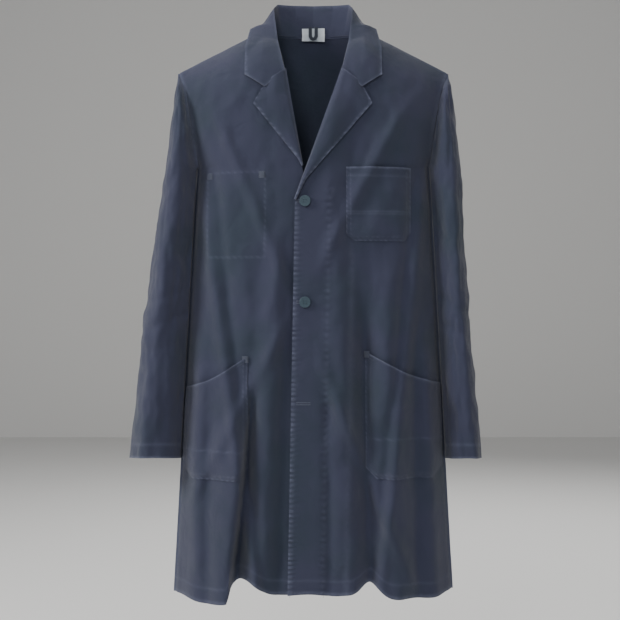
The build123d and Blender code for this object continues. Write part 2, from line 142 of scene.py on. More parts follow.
slate_twill = twill("slate_twill", (0.043, 0.048, 0.086), (0.120, 0.134, 0.20), (0.033, 0.045, 0.070))
inside_twill = twill("inside_twill", (0.042, 0.049, 0.086), (0.09, 0.10, 0.15), (0.032, 0.045, 0.066))
edge_thread = twill("edge_thread", (0.075, 0.084, 0.128), (0.14, 0.155, 0.21), (0.062, 0.074, 0.105), rib=2600.0, rough=0.7)

pale_thread = twill("pale_thread", (0.095, 0.107, 0.155), (0.14, 0.155, 0.21), (0.08, 0.095, 0.135), rib=2600.0, rough=0.7)

# ---- Body shape --------------------------------------------------------
# The coat hangs from its shoulders. Front and back fall from the shoulder seams, meet at the side seams,
# and flare a little to the hem. Lengths in this file are in millimetres until a mesh is made.
HEM, UNDERARM, SHOULDER, NECK = -1040.0, -264.0, -87.0, -8.0


def ease(t):
    t = min(1.0, max(0.0, t))
    return t * t * (3 - 2 * t)


def below(z):
    return min(1.1, max(0.0, (UNDERARM - z) / (UNDERARM - HEM)))


def shoulder_line(x):
    return NECK + (SHOULDER - NECK) * min(1.2, max(0.0, abs(x) - 92) / 156)


def half_width(z):
    above = min(1.0, max(0.0, (z - UNDERARM) / (SHOULDER - UNDERARM)))
    return 214 + 43 * below(z) + 48 * above


def hang(x, z, depth):
    across = min(1.0, abs(x) / half_width(z)) ** 5
    return (depth + 16 * below(z)) * (1 - across) * (1 - math.exp(-max(0.0, shoulder_line(x) - z) / 38))


def ripple(x, z, grain, size, seed=0.0):
    """Small uneven rumples in washed cloth."""
    return size * noise.noise(Vector((x / grain + seed, z / (grain * 1.7), seed)))


def ridge(x, z, top, foot, width, height, fade=180.0):
    """A soft fold that starts at top, runs straight to foot and grows as it falls."""
    if z > top[1]:
        return 0.0
    run = (top[1] - z) / (top[1] - foot[1])
    middle = top[0] + (foot[0] - top[0]) * run
    return height * ease((top[1] - z) / fade) * math.exp(-((x - middle) / width) ** 2)


def tuck(x, z, top, foot, soft, height, side):
    """A fold with one sharp side: cloth on that side of the line stands forward and falls back softly."""
    if z > top[1]:
        return 0.0
    run = (top[1] - z) / (top[1] - foot[1])
    away = side * (x - (top[0] + (foot[0] - top[0]) * run))
    if away < -5:
        return 0.0
    return height * ease((top[1] - z) / 200) * ease((away + 5) / 7) * math.exp(-(max(0, away) / soft) ** 2)


def front_folds(x, z):
    """Everything the front's cloth does between its seams."""
    calm = ease((half_width(z) - abs(x)) / 34)
    drop = ease((-150 - z) / 260)
    folds = ridge(x, z, (-62, -330), (-96, HEM), 20, 11) + ridge(x, z, (132, -400), (150, HEM), 24, 13)
    folds += ridge(x, z, (-205, -500), (-214, HEM), 20, 9) + ridge(x, z, (206, -520), (222, HEM), 18, 10)
    folds += ridge(x, z, (46, -380), (66, HEM), 20, 10) - ridge(x, z, (88, -430), (101, HEM), 15, 13)
    folds += tuck(x, z, (-112, -640), (-150, HEM), 56, 29, -1) - ridge(x, z, (-104, -600), (-137, HEM), 12, 19)
    folds -= ridge(x, z, (-188, -560), (-190, HEM), 14, 7) + ridge(x, z, (182, -470), (186, HEM), 13, 8)
    folds -= ridge(x, z, (-38, -460), (-58, HEM), 14, 7) + ridge(x, z, (24, -560), (28, HEM), 11, 5)
    pull = ridge(x, z, (-196, -120), (-70, -420), 13, 4.5, 90) + ridge(x, z, (190, -110), (70, -330), 14, 4.2, 90)
    pull += ridge(x, z, (-212, -250), (-168, -560), 11, 4.5, 80) + ridge(x, z, (210, -250), (176, -540), 11, 4.5, 80)
    pull -= ridge(x, z, (-184, -230), (-150, -520), 10, 3.5, 80) + ridge(x, z, (186, -240), (160, -500), 10, 3.5, 80)
    return calm * (folds + 1.5 * pull) + drop * ripple(x, z, 46, 4.6, 3.1) + ripple(x, z, 19, 2.0, 9.4)


def pucker(distance, z, reach=11.0, size=1.0, pitch=11.0):
    """Short cross wrinkles where stitching has shrunk an edge more than its cloth."""
    if distance < -4 or distance > reach:
        return 0.0
    fall = 1 - abs(distance) / (reach + 0.1)
    wander = 2.6 * noise.noise(Vector((z / 37, 4.0, distance / 30)))
    strength = 0.75 + 0.6 * noise.noise(Vector((z / 23, 9.0, 0.0)))
    return size * strength * fall * math.sin(2 * math.pi * z / pitch + wander)


def worn_edge(distance, z, reach, strength, pitch=9.0):
    """Rub along a puckered edge: the top of each small wrinkle fades, the hollow between keeps its dye."""
    return strength * max(0, 1 - distance / reach) * max(0.2, 0.5 + pucker(0, z, 5, 0.5, pitch) + 0.5 * noise.noise(Vector((z / 19, 1.0, 5.0))))


def front(x, z):
    return -hang(x, z, 58) - 1.0


def lap(x, z):
    near = ease((74 - x) / 50)
    return 10 * near * min(1.0, max(0.0, (-45 - z) / 120))


def edge_x(z):
    """The left front's free edge, from the break of the lapel to the hem."""
    return -33 - 13 * (-327 - z) / 713


def right_cloth(x, z):
    hidden = ease((x + 70) / 40)
    return front(x, z) - front_folds(x, z) * (1 - hidden) * 0.9


def left_cloth(x, z):
    edge = x - edge_x(z)
    flat = 0.12 + 0.88 * ease((edge - 34) / 46)
    lift = front(x, z) - lap(x, z) - front_folds(x, z) * flat
    if z < -300:
        near_button = min(abs(z + 327), abs(z + 508))
        lift -= ease(near_button / 22) * pucker(edge - 2, z, 17, 1.5, 9) + pucker(abs(edge - 62), z, 8, 1.2, 13)
    return lift


def back_cloth(x, z):
    calm = ease((half_width(z) - abs(x)) / 40)
    folds = ridge(x, z, (-70, -260), (-95, HEM), 30, 11) + ridge(x, z, (75, -280), (92, HEM), 34, 12)
    folds += ridge(x, z, (-175, -360), (-188, HEM), 24, 9) + ridge(x, z, (178, -360), (190, HEM), 26, 9)
    folds -= ridge(x, z, (0, -200), (4, HEM), 28, 7)
    across = ridge(x, z, (-130, -60), (-40, -400), 18, 3, 90) + ridge(x, z, (130, -60), (50, -380), 18, 3, 90)
    behind_neck = 22.4 * max(0, 1 - (x / 92) ** 2) * math.exp(-max(0, NECK - z) / 38)
    loose = ease((-40 - z) / 60)
    rumples = ripple(x, z, 44, 2.4, 5.7) + ripple(x, z, 17, 0.8, 2.2)
    return hang(x, z, 40) + 1 + behind_neck + calm * (folds + across) + loose * rumples


# Front and back are each laid out row by row down the coat, so a row runs from one cut edge to the other.
# A row's rub value is high beside a stitched edge and falls away over about a centimetre.


def outer_edge(z):
    """Half width of a panel's cut edge: along the shoulder, round the armhole, then down the side."""
    if z > SHOULDER:
        return 92 + 156 * (NECK - z) / (NECK - SHOULDER)
    corners = [(SHOULDER, 247), (-127, 233), (-177, 223), (-234, 216), (UNDERARM, 212)]
    if z <= UNDERARM:
        return half_width(z) - 1.0 + 1.0 * ease((UNDERARM - z) / 60)
    for (za, xa), (zb, xb) in zip(corners, corners[1:]):
        if z >= zb:
            return xa + (xb - xa) * (za - z) / (za - zb)
    return 212


def hem_drop(x, depth=1.0):
    """The hem isn't level: it dips where a fold pulls it down and rises where the cloth is caught up."""
    def lift(at, wide, high):
        return high * math.exp(-((x - at) / wide) ** 2)
    caught = 36 * math.exp(-((x + 128) / 36) ** 2) * ease((x + 155) / 8) + lift(-20, 58, 14) + lift(101, 25, 32) + lift(60, 22, 6) + lift(250, 26, 7)
    return depth * (caught - 6 * math.exp(-((x + 200) / 34) ** 2)) + 2.0 * math.sin(x / 21)


def closed(y, from_side, z):
    """Brings a panel's depth to the side seam, where front and back are sewn together."""
    sewn = ease((UNDERARM + 30 - z) / 40) * (1 - ease((from_side - 0.5) / 9))
    return y * (1 - sewn)


def make_sheet(name, rows, rub, material, thick=1.1, flip=False):
    """A mesh from rows of points in millimetres, with a rub value at each, then given its thickness."""
    across = len(rows[0])
    points = [(x / 1000, y / 1000, z / 1000) for row in rows for x, y, z in row]
    faces = []
    for r in range(len(rows) - 1):
        for c in range(across - 1):
            a = r * across + c
            face = (a, a + 1, a + across + 1, a + across)
            faces.append(face[::-1] if flip else face)
    mesh = bpy.data.meshes.new(name)
    mesh.from_pydata(points, [], faces)
    worn = mesh.attributes.new("rub", "FLOAT", "POINT")
    worn.data.foreach_set("value", [value for row in rub for value in row])
    mesh.materials.append(material)
    mesh.shade_smooth()
    cloth = bpy.data.objects.new(name, mesh)
    bpy.context.scene.collection.objects.link(cloth)
    body = cloth.modifiers.new("cloth thickness", "SOLIDIFY")
    body.thickness = thick / 1000
    body.offset = -1
    bpy.context.view_layer.objects.active = cloth
    with bpy.context.temp_override(object=cloth, active_object=cloth, selected_objects=[cloth]):
        bpy.ops.object.modifier_apply(modifier=body.name)
    mesh.set_sharp_from_angle(angle=math.radians(50))
    return cloth


def spaced(first, last, step):
    count = max(2, int(abs(last - first) / step) + 1)
    return [first + (last - first) * i / (count - 1) for i in range(count)]


# ---- Back --------------------------------------------------------------
# One wide piece of twill from the shoulder seams to the hem, with a turned and stitched hem.
back_rows, back_rub = [], []
for z in spaced(NECK - 4, HEM, 6):
    wide = outer_edge(z)
    start = -wide
    row, worn = [], []
    for i in range(97):
        x = start + 2 * wide * i / 96
        at_side = 1 - ease((wide - abs(x)) / 40)
        sag = hem_drop(x, 0.35 + 0.65 * at_side) * ease((-900 - z) / 140)
        y = closed(back_cloth(x, z), wide - abs(x), z)
        row.append((x, y, z + sag))
        worn.append(max(0, 1 - (wide - abs(x)) / 9) * 0.5 + 0.8 * max(0, 1 - abs(z - HEM - 3) / 5) + 0.6 * max(0, 1 - abs(z - HEM - 26) / 4))
    back_rows.append(row)
    back_rub.append(worn)
back = make_sheet("back_cloth", back_rows, back_rub, slate_twill)
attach(back, "torso")
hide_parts("back_panel", "back_hem", "left_side_seam", "right_side_seam", "left_shoulder_seam", "right_shoulder_seam")

# ---- Fronts ------------------------------------------------------------
# Two fronts, the left lapped over the right by about six centimetres. Each is one cloth from shoulder to hem.
# The edge stitching has shrunk, so the left edge puckers all the way down.


def fold_x(z, top, foot):
    return top[0] + (foot[0] - top[0]) * (top[1] - z) / (top[1] - foot[1])


def left_start(z):
    """Where the left front's cloth begins: the roll line of the lapel, then the free edge."""
    if z > -45:
        return 64 + (z + 45) * 28 / 34
    return fold_x(z, (64, -45), (-33, -327)) if z > -327 else edge_x(z)


def right_start(z):
    if z > -45:
        return 64 + (z + 45) * 28 / 34
    if z > -305:
        return -fold_x(z, (-64, -45), (-12, -305))
    return -fold_x(z, (-12, -305), (12, -339)) if z > -339 else -12


def front_panel(name, side, start_of, cloth_y):
    rows, rub = [], []
    for z in spaced(NECK - 4, HEM, 2.6):
        first, last = start_of(z), outer_edge(z)
        last = max(last, first + 1)
        row, worn = [], []
        for i in range(90):
            x = side * (first + (last - first) * i / 89)
            sag = hem_drop(x) * ease((-900 - z) / 140)
            from_edge, from_side = abs(x - side * first), abs(side * last - x)
            row.append((x, closed(cloth_y(x, z), from_side, z), z + sag))
            value = 0.55 * max(0, 1 - from_side / 8) + 0.6 * max(0, 1 - abs(z - HEM - 3) / 4)
            value += 0.22 * max(0, 1 - abs(z - HEM - 26) / 4)
            if z < -327:
                value += worn_edge(from_edge, z, 10, 1.1) if side > 0 else 0.3 * max(0, 1 - from_edge / 5)
            if side > 0 and z < -300:
                value += worn_edge(abs(from_edge - 62), z, 5, 0.26, 13)
            if side < 0:
                inner_side = min(abs(x + 192), abs(x + 87)) if -427 < z < -274 else 99
                inner_end = min(abs(z + 274), abs(z + 427)) if -192 < x < -87 else 99
                value += worn_edge(min(inner_side, inner_end), z + x, 3, 0.5, 11)
            if side > 0:
                value += 0.22 * max(0, 1 - abs(from_edge - 104) / 9) * ease((-150 - z) / 100)
            worn.append(value)
        rows.append(row)
        rub.append(worn)
    return make_sheet(name, rows, rub, slate_twill, flip=side < 0)


left_front = front_panel("left_front_cloth", 1, left_start, left_cloth)
right_front = front_panel("right_front_cloth", -1, right_start, right_cloth)
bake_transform(left_front)
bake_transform(right_front)
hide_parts("left_front", "left_skirt_corner", "left_front_hem")
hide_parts("right_front", "right_skirt_corner", "right_front_hem")


# Facings: strips of the same twill behind each front edge, cut to its line and stitched to it.
def facing(name, side, start_of, cloth_y, wide):
    rows, rub = [], []
    for z in spaced(-70, HEM + 2, 7):
        first = start_of(z) + 2
        row = []
        for i in range(16):
            x = side * (first + wide * i / 15)
            row.append((x, cloth_y(x, z) + 2.6, z + hem_drop(x) * ease((-900 - z) / 140)))
        rows.append(row)
        rub.append([0.5 if i in (0, 15) else 0.0 for i in range(16)])
    return make_sheet(name, rows, rub, inside_twill, thick=1.0, flip=side < 0)


left_facing = facing("left_facing_cloth", 1, left_start, left_cloth, 66)
right_facing = facing("right_facing_cloth", -1, right_start, right_cloth, 62)
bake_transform(left_facing)
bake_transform(right_facing)
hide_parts("left_facing", "left_skirt_facing")
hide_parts("right_facing", "right_skirt_facing")

# ---- Sleeves -----------------------------------------------------------
# Two-part sleeves, set into the armholes with a shrunken, puckered seam, and hemmed plain at the cuff.
# They hang empty, so the cloth flattens and creases at the elbow.
SHOULDER_BEND, ELBOW, CUFF, SLEEVE_JOIN = -300.0, -535.0, -792.0, -420.0


def sleeve_at(side, z):
    """Middle, half width and half depth. The left sleeve hangs closer in than the right."""
    stations = [(-89, (243, 9, 22)), (-130, (240, 16, 36)), (UNDERARM, (248, 25, 52)), (ELBOW, (273, 40, 58)), (CUFF, (294, 45, 60))]
    if side > 0:
        stations[-2:] = [(ELBOW, (260, 27, 62)), (CUFF, (281, 32, 66))]
    z = min(z, -89)
    for (za, a), (zb, b) in zip(stations, stations[1:]):
        if z >= zb:
            t = (za - z) / (za - zb)
            return [p + (q - p) * t for p, q in zip(a, b)]
    return stations[-1][1]


def sleeve_point(side, turn, z):
    """A point on the sleeve's cloth. The turn starts at the outer side and passes behind."""
    middle, wide, deep = sleeve_at(side, z)
    if math.cos(turn) < 0:
        wide = middle - (outer_edge(z) - 2 if z > UNDERARM else half_width(z) - 1)
    seed = 11.0 * side
    swell = 4.2 * noise.noise(Vector((1.6 * math.cos(turn), 1.6 * math.sin(turn), z / 75 + seed)))
    swell += 2.4 * noise.noise(Vector((3.5 * math.cos(turn), 3.5 * math.sin(turn), z / 26 + seed)))
    elbow = math.exp(-((z - ELBOW - 8) / 60) ** 2)
    swell -= elbow * 2.4 * max(0, math.sin(z / 7.5 + 2.2 * math.cos(turn) + side)) * (0.5 - 0.5 * math.sin(turn))
    swell -= 5.5 * ease((UNDERARM - z) / 120) * math.exp(-(((turn - 4.25) + (z + 500) / 900) / 0.42) ** 2)
    round_off = 0.86 + 0.14 * math.cos(2 * turn) ** 2
    x = middle + (wide * round_off ** 0.5 + swell - 1.5) * math.cos(turn)
    y = 4 + (deep + swell) * math.sin(turn)
    if z <= UNDERARM and x < half_width(z) + 4:
        x = max(x, half_width(z) + 1.2)
        if math.sin(turn) > 0:
            y = max(y, 5 + 22 * ease((UNDERARM - z) / 40))
    if z <= UNDERARM and math.cos(turn) < -0.93:
        x = half_width(z) + 1.2
    if z > UNDERARM:
        seam = outer_edge(z) - 1.5
        at_seam = abs(front(outer_edge(z), z)) + 1.5
        near = ease((x - seam) / 17)
        y = near * y + (1 - near) * math.copysign(min(abs(y), at_seam), y - 4)
        gather = max(0, 1 - abs(x - seam) / 17)
        y += math.copysign(1.3 * gather * math.sin(z / 1.9), y)
        x = max(x, seam)
        top = ease((-z - 86) / 26)
        x = 247 + (x - 247) * (0.35 + 0.65 * top)
        y *= 0.25 + 0.75 * top
    return side * x, y, z


def sleeve(name, side, top, foot, step=5.0):
    rows, rub = [], []
    for z in spaced(top, foot, step):
        row, worn = [], []
        for i in range(73):
            turn = 2 * math.pi * i / 72
            x, y, height = sleeve_point(side, turn, z)
            if foot == CUFF:
                hidden = ease((z - SLEEVE_JOIN) / 3)
                x, y = x - 1.3 * hidden * side * math.cos(turn), y - 1.3 * hidden * math.sin(turn)
            if foot == CUFF:
                height -= (3 + 6 * math.sin(turn)) * ease((-700 - z) / 90)
            row.append((x, y, height))
            worn.append(0.9 * max(0, 1 - abs(z - CUFF) / 4) + 0.45 * max(0, 1 - abs(z - CUFF - 24) / 3.5))
            if z > UNDERARM:
                worn[-1] += 0.5 * max(0, 1 - abs(abs(x) - outer_edge(z)) / 9)
        rows.append(row)
        rub.append(worn)
    return make_sheet(name, rows, rub, slate_twill, flip=side < 0)


for hand, side in (("left", 1), ("right", -1)):
    upper = sleeve(f"{hand}_upper_sleeve_cloth", side, -87, SLEEVE_JOIN - 1)
    lower = sleeve(f"{hand}_lower_sleeve_cloth", side, SLEEVE_JOIN + 14, CUFF)
    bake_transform(upper)
    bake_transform(lower)
    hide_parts(f"{hand}_sleeve_head", f"{hand}_sleeve_shoulder_bend", f"{hand}_upper_sleeve_outer", f"{hand}_upper_sleeve_under")
    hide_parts(f"{hand}_sleeve_elbow_bend", f"{hand}_lower_sleeve_outer", f"{hand}_lower_sleeve_under", f"{hand}_cuff_hem")

# ---- Lapels ------------------------------------------------------------
# Each lapel is the front's facing turned outward over its roll line, with a notch where it meets the collar.
# The left lapel reaches the top button. The right one runs under the left front.


def along(path, t):
    """The point a share t of the way along a path, by length."""
    steps = [math.dist(a, b) for a, b in zip(path, path[1:])]
    want = max(0.0, min(1.0, t)) * sum(steps)
    for a, b, step in zip(path, path[1:], steps):
        if want <= step or b is path[-1]:
            share = min(1.0, want / step)
            return tuple(p + (q - p) * share for p, q in zip(a, b))
        want -= step


def lapel(name, side, roll, edge, cloth_y, stand_off):
    rows, rub = [], []
    for j in range(70):
        down = j / 69
        (rx, rz), (ex, ez) = along(roll, down), along(edge, down)
        row, worn = [], []
        for i in range(34):
            out = i / 33
            x, z = rx + (ex - rx) * out, rz + (ez - rz) * out
            puff = stand_off * ease(out / 0.14) + 4.5 * math.sin(math.pi * min(1, out * 1.1)) * (1 - down * 0.6)
            lift = puff + 0.5 * math.sin(z / 2.4) * max(0, 1 - (1 - out) * 9) + ripple(x, z, 24, 0.9, 7.7)
            base_x = side * max(side * x, side * rx)
            row.append((x, cloth_y(base_x, z) - 0.6 - lift, z))
            worn.append(worn_edge((1 - out) * abs(ex - rx), z, 6, 1.1) + 0.35 * max(0, 1 - out * 14) + 0.6 * max(0, 1 - down * 60))
        rows.append(row)
        rub.append(worn)
    return make_sheet(name, rows, rub, slate_twill, thick=1.6, flip=side < 0)


left_lapel = lapel("left_lapel_cloth", 1, [(52, -86), (-33, -324)], [(86, -113), (106, -150), (-15, -290), (-32, -325)], left_cloth, 4.0)
right_lapel = lapel("right_lapel_cloth", -1, [(-50, -86), (-19.5, -262)], [(-87, -113), (-108, -150), (-28, -250), (-19, -263)], right_cloth, 3.0)

# ---- Collar ------------------------------------------------------------
# A two-leaf collar on a stand. Each half is cut with a seam at the centre back, stands up round the neck,
# folds over and lies on the shoulders, and is sewn to its lapel along the gorge.


def collar_half(name, side, cloth_y):
    neck = [(52, -44, -88), (72, -22, -40), (84, -2, -14), (72, 14, -16), (40, 22, -17), (0, 24, -17)]
    fold = [(50, -50, -90), (64, -32, -30), (72, -8, 34), (66, 14, 46), (36, 26, 47), (0, 29, 47)]
    edge = [(124, -56, -97), (124, -36, -44), (116, -6, -4), (104, 30, -16), (62, 54, -34), (0, 62, -37)]
    notch = (87, -52, -121)
    rows, rub = [], []
    for j in range(80):
        round_neck = j / 79
        n, f, e = along(neck, round_neck), along(fold, round_neck), along(edge, round_neck)
        row, worn = [], []
        for i in range(40):
            t = -0.6 + 1.6 * i / 39
            if t < 0:
                x, y, z = (a + (b - a) * (1 + t / 0.6) for a, b in zip(n, f))
            else:
                x, y, z = (a + (b - a) * t for a, b in zip(f, e))
                corner = max(0.0, 1 - round_neck / 0.16)
                crown = math.sin(math.pi * t) * 7
                level = crown * (1 - corner)
                x, y, z = x + level * 0.5 * (1 - round_neck ** 4), y + crown * (round_neck - 0.3), z + level * 0.7
                dip = 1 - abs(t - 0.5) * 2
                straight = f[2] + (e[2] - f[2]) * 0.5
                z += corner * dip * (notch[2] - straight)
                x += corner * dip * (notch[0] - (f[0] + e[0]) / 2) * 0.8
                below_seam = ease((shoulder_line(x) - 6 - z) / 26)
                resting = cloth_y(side * x, z) - 5.5 - 3 * math.sin(math.pi * t)
                y = y * (1 - below_seam) + min(y, resting) * below_seam if round_neck < 0.55 else y
            y += ripple(x, z, 26, 0.8, 1.3)
            row.append((side * x, y, z))
            worn.append(worn_edge((1 - t) * 60, z + y, 6, 1.1) + (0.45 * max(0, 1 - abs(t) * 12)) + 0.5 * max(0, 1 - round_neck * 50))
        rows.append(row)
        rub.append(worn)
    return make_sheet(name, rows, rub, slate_twill, thick=1.6, flip=side < 0)


left_collar = collar_half("left_collar_cloth", 1, left_cloth)
right_collar = collar_half("right_collar_cloth", -1, right_cloth)
for hand, side, lapel_cloth, collar_cloth in (("left", 1, left_lapel, left_collar), ("right", -1, right_lapel, right_collar)):
    body = f"{hand}_lapel_and_collar"
    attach(lapel_cloth, body)
    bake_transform(collar_cloth)
    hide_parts(f"{hand}_lapel", f"{hand}_lapel_back")
    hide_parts(f"{hand}_collar", f"{hand}_under_collar")
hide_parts("back_collar", "back_under_collar", "collar_stand")

# ---- Patch pockets -----------------------------------------------------
# Flat patches of the same twill with turned edges, stitched down on three sides in two rows.
# The hip pockets' mouths slant and curve, and stand a little open. The chest pocket's lower corners are clipped.


def patch_pocket(name, side, inner, outer, mouth, foot, clip, cloth_y, gape, rub_lines=()):
    rows, rub = [], []
    for j in range(56):
        down = j / 55
        row, worn = [], []
        for i in range(46):
            share = i / 45
            top = mouth(share)
            z = top + (foot - top) * down
            cut = clip * max(0.0, 1 - (z - foot) / clip)
            reach = min(outer, half_width(z) - 3)
            x = side * (inner + cut + (reach - inner - 2 * cut) * share)
            near_side = min(share, 1 - share) * (outer - inner)
            near = min(near_side, z - foot)
            puff = 1.7 + 2.2 * ease(near / 12) + gape * math.sin(math.pi * share) * (1 - down) ** 2
            puff += 0.5 * math.sin((x + z) / 2.1) * max(0, 1 - near / 9) + ripple(x, z, 28, 1.2, 4.4) * ease(near / 20)
            row.append((x, cloth_y(x, z) - puff, z))
            value = worn_edge(near, x + z, 4, 0.8) + worn_edge(abs(near - 8), x - z, 2.5, 0.4) + 0.85 * max(0, 1 - (top - z) / 4)
            for height in rub_lines:
                value += 0.3 * max(0, 1 - abs(height - z) / 2.5)
            worn.append(value)
        rows.append(row)
        rub.append(worn)
    return make_sheet(name, rows, rub, slate_twill, flip=side < 0)


def hip_mouth(share):
    drop = 0.62 * share + 0.38 * ease(share * 1.15)
    return -598 - 57 * drop - 5 * math.sin(math.pi * min(1, share * 1.3))


chest_pocket = patch_pocket("chest_pocket_cloth", 1, 59, 176, lambda share: -265, -398, 13, left_cloth, 2.2, (-281, -345, -349))
left_hip = patch_pocket("left_hip_pocket_cloth", 1, 94, 236, hip_mouth, -824, 20, left_cloth, 6.0, (-753,))
right_hip = patch_pocket("right_hip_pocket_cloth", -1, 118, 239, lambda share: hip_mouth(share) - 8, -826, 20, right_cloth, 6.0, (-775,))
inner_pocket = patch_pocket(
    "inner_pocket_cloth", -1, 88, 191, lambda share: -274, -426, 22, lambda x, z: right_cloth(x, z) + 6.5, -1.5)
for pocket, node, width, height, area in (
    (chest_pocket, "chest_pocket", 0.118, 0.150, None), (left_hip, "left_hip_pocket", 0.165, 0.240, 0.0335),
    (right_hip, "right_hip_pocket", 0.150, 0.235, 0.0292), (inner_pocket, "inner_pocket", 0.115, 0.160, None)):
    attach(pocket, "torso")
    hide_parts(node)
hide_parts("chest_pocket_hem")

# ---- Stitching ---------------------------------------------------------
# Lockstitch in a slightly paler thread: two rows round each outer pocket, one row along the edges and hems.


def stitch_row(name, runs, body=None, bend=None, pitch=3.4, length=2.3, thread=0.55, material=None):
    """Short threads laid end to end along paths in millimetres, as one piece."""
    points, faces = [], []
    for run in runs:
        total = sum(math.dist(a, b) for a, b in zip(run, run[1:]))
        for k in range(int(total / pitch)):
            a, b = Vector(along(run, k * pitch / total)), Vector(along(run, (k * pitch + length) / total))
            lie = (b - a).normalized()
            flat = lie.cross(Vector((0, 1, 0)))
            if flat.length < 0.1:
                flat = lie.cross(Vector((1, 0, 0)))
            flat = flat.normalized() * thread / 2
            rise = flat.cross(lie).normalized() * thread / 2
            first = len(points)
            for share, size in ((0.0, 0.35), (0.25, 1.0), (0.75, 1.0), (1.0, 0.35)):
                middle = a.lerp(b, share)
                for u, v in ((1, 0), (0, 1), (-1, 0), (0, -1)):
                    points.append(tuple((middle + (flat * u + rise * v) * size) / 1000))
            for ring in range(3):
                for s in range(4):
                    p, q = first + ring * 4 + s, first + ring * 4 + (s + 1) % 4
                    faces.append((p, q, q + 4, p + 4))
            faces.append(tuple(first + s for s in (3, 2, 1, 0)))
            faces.append(tuple(first + 12 + s for s in (0, 1, 2, 3)))
    mesh = bpy.data.meshes.new(name)
    mesh.from_pydata(points, [], faces)
    mesh.materials.append(material or edge_thread)
    mesh.shade_smooth()
    thread_piece = bpy.data.objects.new(name, mesh)
    bpy.context.scene.collection.objects.link(thread_piece)
    if bend:
        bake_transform(thread_piece)
    else:
        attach(thread_piece, body)
    return thread_piece


def on(cloth_y, places, proud):
    return [(x, cloth_y(x, z) - proud, z) for x, z in places]


left_bend = (("torso", "left_skirt"), (0.082, -0.07, -0.778), (0.046, -0.07, -0.792))
right_bend = (("torso", "right_skirt"), (-0.095, -0.067, -0.863), (-0.063, -0.067, -0.880))
down_left = spaced(-330, HEM + 4, 6)
stitch_row("left_edge_stitches", [
    on(left_cloth, [(edge_x(z) + inset, z) for z in down_left], 0.2) for inset in (4, 64)], bend=left_bend)
stitch_row("left_hem_stitches", [
    [(x, left_cloth(x, HEM + 26) - 0.2, HEM + 26 + hem_drop(x)) for x in spaced(-40, 246, 8)]], bend=left_bend)
stitch_row("right_hem_stitches", [
    [(x, right_cloth(x, HEM + 26) - 0.2, HEM + 26 + hem_drop(x)) for x in spaced(8, -246, 8)]], bend=right_bend)
stitch_row("back_hem_stitches", [
    [(x, back_cloth(x, HEM + 26) + 0.3, HEM + 26 + hem_drop(x)) for x in spaced(-246, 246, 8)]], body="torso")


def pocket_seam(side, inner, outer, mouth, foot, clip, cloth_y, inset):
    """The path of a row of stitches, a constant distance inside a patch's edge."""
    places = [(inner + inset, mouth(0) - 1), (inner + inset, foot + clip), (inner + clip, foot + inset), (outer - clip, foot + inset),
              (outer - inset, foot + clip), (outer - inset, mouth(1) - 1)]
    path = []
    for (xa, za), (xb, zb) in zip(places, places[1:]):
        count = max(2, int(math.dist((xa, za), (xb, zb)) / 7))
        path += [(side * (xa + (xb - xa) * k / count), za + (zb - za) * k / count) for k in range(count)]
    return on(cloth_y, path, 2.4 + 0.9 * ease(inset / 8))


def cross_row(side, inner, outer, mouth, depth, cloth_y, proud):
    return on(cloth_y, [(side * (inner + (outer - inner) * k / 24), mouth(k / 24) - depth) for k in range(25)], proud)


flat_mouth, right_mouth = (lambda share: -265), (lambda share: hip_mouth(share) - 8)
stitch_row("chest_pocket_stitches", [
    pocket_seam(1, 59, 176, flat_mouth, -398, 13, left_cloth, 2.2), pocket_seam(1, 59, 176, flat_mouth, -398, 15, left_cloth, 8),
    cross_row(1, 62, 173, flat_mouth, 16, left_cloth, 5.2), cross_row(1, 68, 167, flat_mouth, 80, left_cloth, 4.6),
    on(left_cloth, [(96, z) for z in spaced(-345, -394, 6)], 4.8)], body="torso")
stitch_row("left_hip_pocket_stitches", [
    pocket_seam(1, 94, 236, hip_mouth, -824, 20, left_cloth, 2.2), pocket_seam(1, 94, 236, hip_mouth, -824, 22, left_cloth, 8),
    cross_row(1, 97, 232, hip_mouth, 9, left_cloth, 7.5)], body="torso")
stitch_row("right_hip_pocket_stitches", [
    pocket_seam(-1, 118, 239, right_mouth, -826, 20, right_cloth, 2.2), pocket_seam(-1, 118, 239, right_mouth, -826, 22, right_cloth, 8),
    cross_row(-1, 121, 235, right_mouth, 9, right_cloth, 7.5)], body="torso")

# Bartacks: short dense bars of the same thread at both ends of the inner pocket's mouth and at the inner end of each
# hip pocket's mouth.
tack_runs = []
for x, z, cloth_y in ((-187, -278, right_cloth), (-92, -278, right_cloth), (97, -601, left_cloth), (-122, -610, right_cloth)):
    for k in range(9):
        tack_runs.append(on(cloth_y, [(x - 6, z + 1.3 * k - 6), (x, z + 1.3 * k - 6), (x + 6, z + 1.3 * k - 6)], 1.4 if abs(z) < 400 else 4.0))
tacks = stitch_row("pocket_bartack_threads", tack_runs, body="torso", pitch=11.9, length=11.9, thread=1.5, material=pale_thread)
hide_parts("pocket_bartacks")

